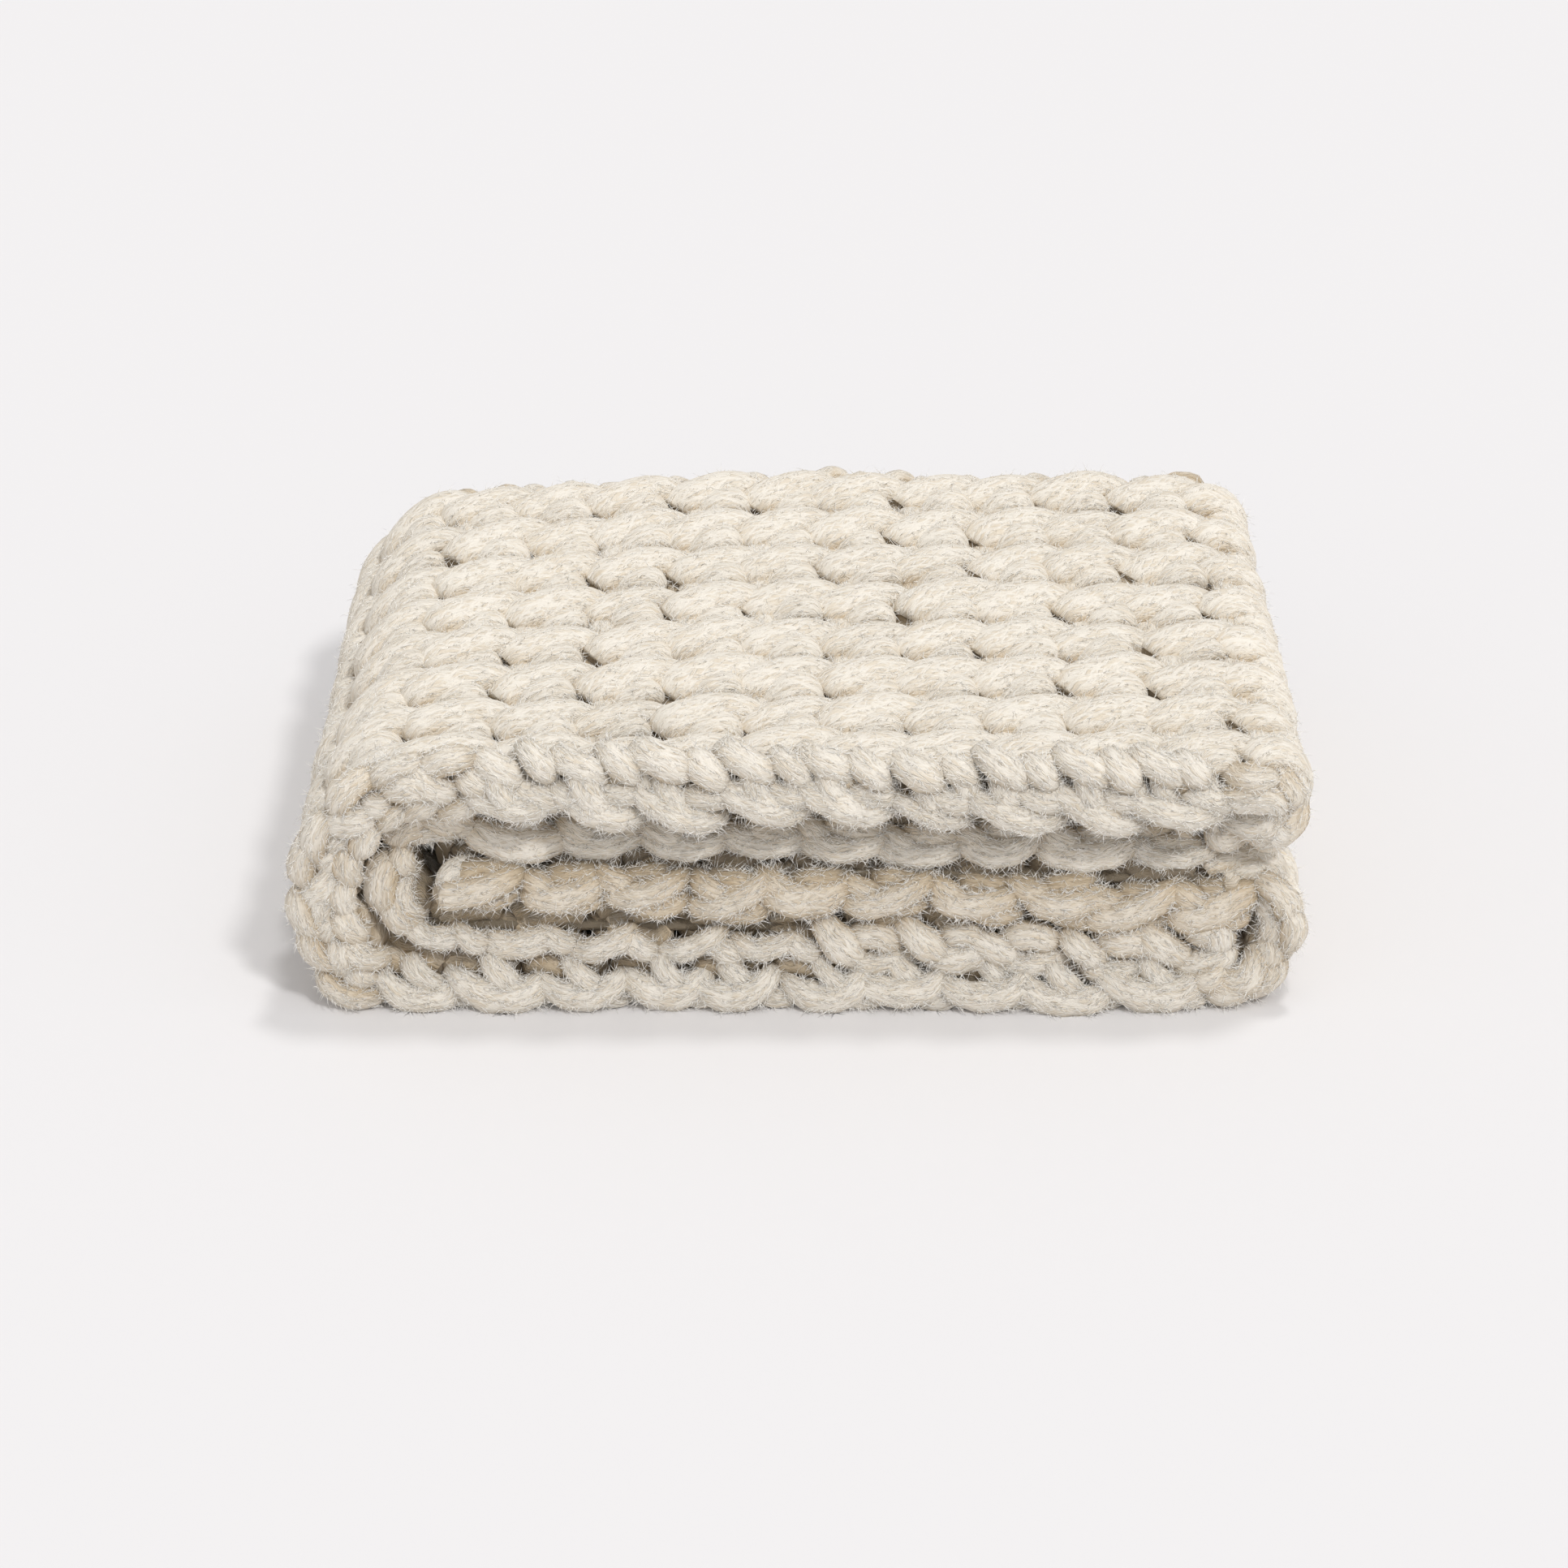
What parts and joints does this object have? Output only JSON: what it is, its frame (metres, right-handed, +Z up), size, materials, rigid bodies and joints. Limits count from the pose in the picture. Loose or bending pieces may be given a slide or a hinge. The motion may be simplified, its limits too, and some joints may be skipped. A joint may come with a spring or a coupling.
{
  "type": "folded hand knit throw blanket",
  "caption": "Thick garter stitch throw in cream brushed yarn, folded back and forth into a flat stack that lies on a surface.",
  "frame": {"origin": "bottom centre of the folded throw's box, on the surface it lies on", "axes": "+X along the rows of stitches and the strip's length, left to right seen from the front; +Y from the front edge to the back edge; +Z up"},
  "size_m": [0.4384, 0.322, 0.1249],
  "materials": {
    "yarn": "lofty brushed wool yarn, matt and fuzzy"
  },
  "bodies": {
    "root": {"throw": "yarn"}
  },
  "joints": []
}
